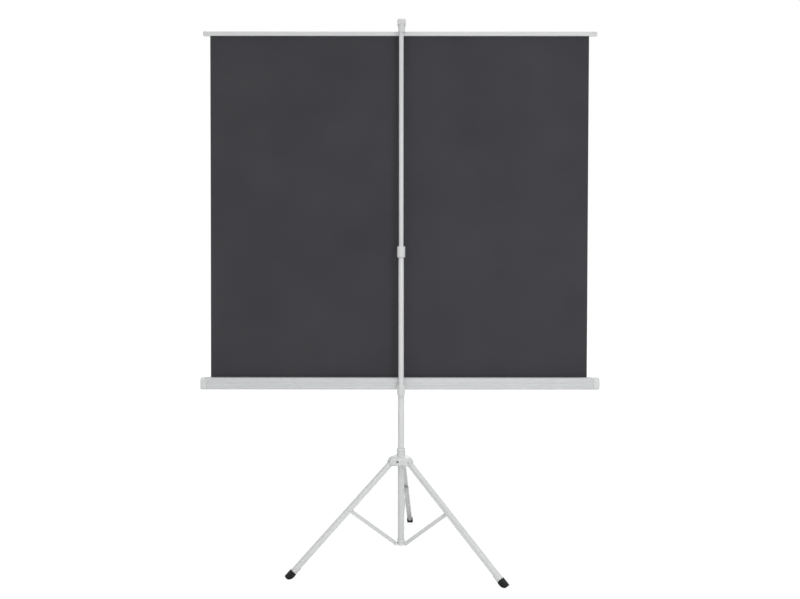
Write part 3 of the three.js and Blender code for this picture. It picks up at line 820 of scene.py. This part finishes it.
def fabric():
    low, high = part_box("screen_fabric")
    width = high.x - low.x
    drop = high.z - low.z
    deselect()
    bpy.ops.mesh.primitive_plane_add(size=1, location=(0, 0, 0))
    sheet = bpy.context.object
    sheet.scale = (width, drop, 1)
    bpy.ops.object.transform_apply(location=True, rotation=True, scale=True)
    editing(sheet)
    for plane, normal in (
        ((width / 2 - BORDER_WIDTH, 0, 0), (1, 0, 0)), ((BORDER_WIDTH - width / 2, 0, 0), (1, 0, 0)),
        ((0, drop / 2 - BORDER_WIDTH, 0), (0, 1, 0)), ((0, LOWER_BORDER - drop / 2, 0), (0, 1, 0)),
    ):
        bpy.ops.mesh.select_all(action="SELECT")
        bpy.ops.mesh.bisect(plane_co=plane, plane_no=normal)
    bpy.ops.mesh.select_all(action="SELECT")
    bpy.ops.mesh.subdivide(number_cuts=CLOTH_CUTS)
    done_editing()
    lean = math.atan2((high.y - low.y) - CLOTH, drop)
    put(sheet, (low + high) / 2, Matrix.Rotation(math.pi / 2 + lean, 3, "X"))
    hang(sheet, low, high)
    finished(sheet, "SOLIDIFY", thickness=CLOTH, offset=0)
    smooth(sheet)
    dress(sheet, "fabric_sheet", "case", BACK, ("screen_fabric",))
    paint_front(sheet, low, high)
    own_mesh(sheet)


def hang(sheet, low, high):
    """The slight waves of a fabric under light tension, none at its ends, and its lean to one side."""
    for point in sheet.data.vertices:
        up = (point.co.z - low.z) / (high.z - low.z)
        across = (point.co.x - low.x) / (high.x - low.x)
        hold = math.sin(math.pi * up)
        swell = sum(
            share * math.sin(wide * across + tall * up + start) for wide, tall, start, share in WAVES
        )
        point.co.y += WAVE * hold * swell
        point.co.x -= SKEW * (1 - up)


def paint_front(sheet, low, high):
    """Gives the side that is looked at its white face and black border."""
    sheet.data.materials.append(WHITE)
    sheet.data.materials.append(BORDER)
    for face in sheet.data.polygons:
        if face.normal.y < FACING:
            continue
        spot = face.center
        up = (spot.z - low.z) / (high.z - low.z)
        middle = (low.x + high.x) / 2 - SKEW * (1 - up)
        inside = abs(spot.x - middle) < (high.x - low.x) / 2 - BORDER_WIDTH
        inside = inside and low.z + LOWER_BORDER < spot.z < high.z - BORDER_WIDTH
        face.material_index = 1 if inside else 2


def top_bar():
    middle = middle_of("top_bar").y
    bar = section("top_bar", BAR_CORNER, (-1, middle - BAR_SLOT, middle + BAR_SLOT))
    soften(bar, 0.3 * MM, 2)
    smooth(bar)
    redress("top_bar", bar, PAINT)
    redress("bar_hanger", eased("bar_hanger", 0.3 * MM, 2), STEEL)
    for side in ("left", "right"):
        redress(f"bar_cap_{side}", moulded(f"bar_cap_{side}", MOULDING["bar_cap"]), PLASTIC)


# Studio

WORLD_LIGHT = 0.18
CEILING_SPREAD = math.radians(60)
CEILING_TILT = math.radians(12)
FLOOR_SIZE = 60
FLOOR_COLOUR = (0.88, 0.88, 0.88, 1)
FLOOR_ROUGHNESS = 0.9
FLOOR_GLOW = 1.06
FLOOR_NEAR = {"share": 0.86, "edge": 0.8}  # of the glow, within this distance
FLOOR_FAR = {"share": 1.0, "edge": 2.6}


def studio():
    scene = bpy.context.scene
    scene.view_settings.view_transform = "Standard"
    floor()

    world = bpy.data.worlds.new("studio")
    scene.world = world
    world.use_nodes = True
    tree = world.node_tree
    background = tree.nodes["Background"]
    background.inputs["Color"].default_value = (1, 1, 1, 1)
    level = map_range(tree, seen_or_mirrored(tree), WORLD_LIGHT, 1.0)
    tree.links.new(level, background.inputs["Strength"])

    lamp("key", (1.95, -3.75, 2.3), (0, 0, 1.4), 1.2, 37)
    lamp("fill", (-2.2, -3.4, 2.4), (0, 0, 1.8), 2.0, 10)
    lamp("low_fill", (0.3, -3.6, 0.35), (0, 0, 0.4), 1.4, 20)
    overhead(1.5)
    lamp("left_side", (-3.0, -0.5, 1.4), (0, 0, 1.2), 1.6, 6)
    lamp("right_side", (3.0, -0.5, 1.4), (0, 0, 1.2), 1.6, 6)
    lamp("front_wash", (0.6, 3.6, 2.4), (0, 0, 1.3), 2.0, 60)


def overhead(strength):
    """An even light from above, as from a white ceiling."""
    data = bpy.data.lights.new("overhead", "SUN")
    data.energy = strength
    data.angle = CEILING_SPREAD
    light = bpy.data.objects.new("overhead", data)
    light.rotation_euler = (CEILING_TILT, 0, 0)
    bpy.context.scene.collection.objects.link(light)


def floor():
    """A white floor that fades into the background and keeps a faint shadow near the object."""
    deselect()
    bpy.ops.mesh.primitive_plane_add(size=FLOOR_SIZE, location=(0, 0, 0))
    ground = bpy.context.object
    ground.name = "floor"
    material = bpy.data.materials.new("floor_white")
    material.use_nodes = True
    tree = material.node_tree
    nodes = tree.nodes
    links = tree.links
    paint = nodes["Principled BSDF"]
    paint.inputs["Base Color"].default_value = FLOOR_COLOUR
    paint.inputs["Roughness"].default_value = FLOOR_ROUGHNESS
    away = nodes.new("ShaderNodeVectorMath")
    away.operation = "LENGTH"
    links.new(nodes.new("ShaderNodeTexCoord").outputs["Object"], away.inputs[0])
    fade = map_range(
        tree, away.outputs["Value"], FLOOR_NEAR["share"], FLOOR_FAR["share"],
        FLOOR_NEAR["edge"], FLOOR_FAR["edge"],
    )
    share = nodes.new("ShaderNodeMath")
    share.operation = "MULTIPLY"
    links.new(seen_or_mirrored(tree), share.inputs[0])
    links.new(fade, share.inputs[1])
    glow = nodes.new("ShaderNodeEmission")
    glow.inputs["Strength"].default_value = FLOOR_GLOW
    blend = nodes.new("ShaderNodeMixShader")
    links.new(share.outputs["Value"], blend.inputs["Fac"])
    links.new(paint.outputs["BSDF"], blend.inputs[1])
    links.new(glow.outputs["Emission"], blend.inputs[2])
    links.new(blend.outputs["Shader"], nodes["Material Output"].inputs["Surface"])
    ground.data.materials.append(material)


def seen_or_mirrored(tree):
    """1 for what the camera sees straight, in a gloss or through glass, and 0 for what only lights."""
    path = tree.nodes.new("ShaderNodeLightPath")
    total = path.outputs["Is Camera Ray"]
    for ray in ("Is Glossy Ray", "Is Transmission Ray"):
        either = tree.nodes.new("ShaderNodeMath")
        either.operation = "MAXIMUM"
        tree.links.new(total, either.inputs[0])
        tree.links.new(path.outputs[ray], either.inputs[1])
        total = either.outputs["Value"]
    return total


def lamp(name, place, target, size, watts):
    data = bpy.data.lights.new(name, "AREA")
    data.size = size
    data.energy = watts
    light = bpy.data.objects.new(name, data)
    light.location = place
    light.rotation_euler = (Vector(target) - Vector(place)).to_track_quat("-Z", "Y").to_euler()
    bpy.context.scene.collection.objects.link(light)


CAMERA_DISTANCE = 2.70  # from the mast
CAMERA_HEIGHT = 1.0175
CAMERA_ROLL = math.radians(0.04)
SENSOR = 36.0
FOCAL_PIXELS = 688.5
PICTURE_WIDTH = 800


def camera():
    data = bpy.data.cameras.new("camera")
    data.sensor_width = SENSOR
    data.lens = SENSOR * FOCAL_PIXELS / PICTURE_WIDTH
    eye = bpy.data.objects.new("camera", data)
    eye.location = (0, MAST.y - CAMERA_DISTANCE, CAMERA_HEIGHT)
    eye.rotation_euler = (math.pi / 2, -CAMERA_ROLL, 0)
    bpy.context.scene.collection.objects.link(eye)
    bpy.context.scene.camera = eye


camera()
mast()
tripod()
case()
case_caps()
roller()
fabric()
top_bar()
studio()
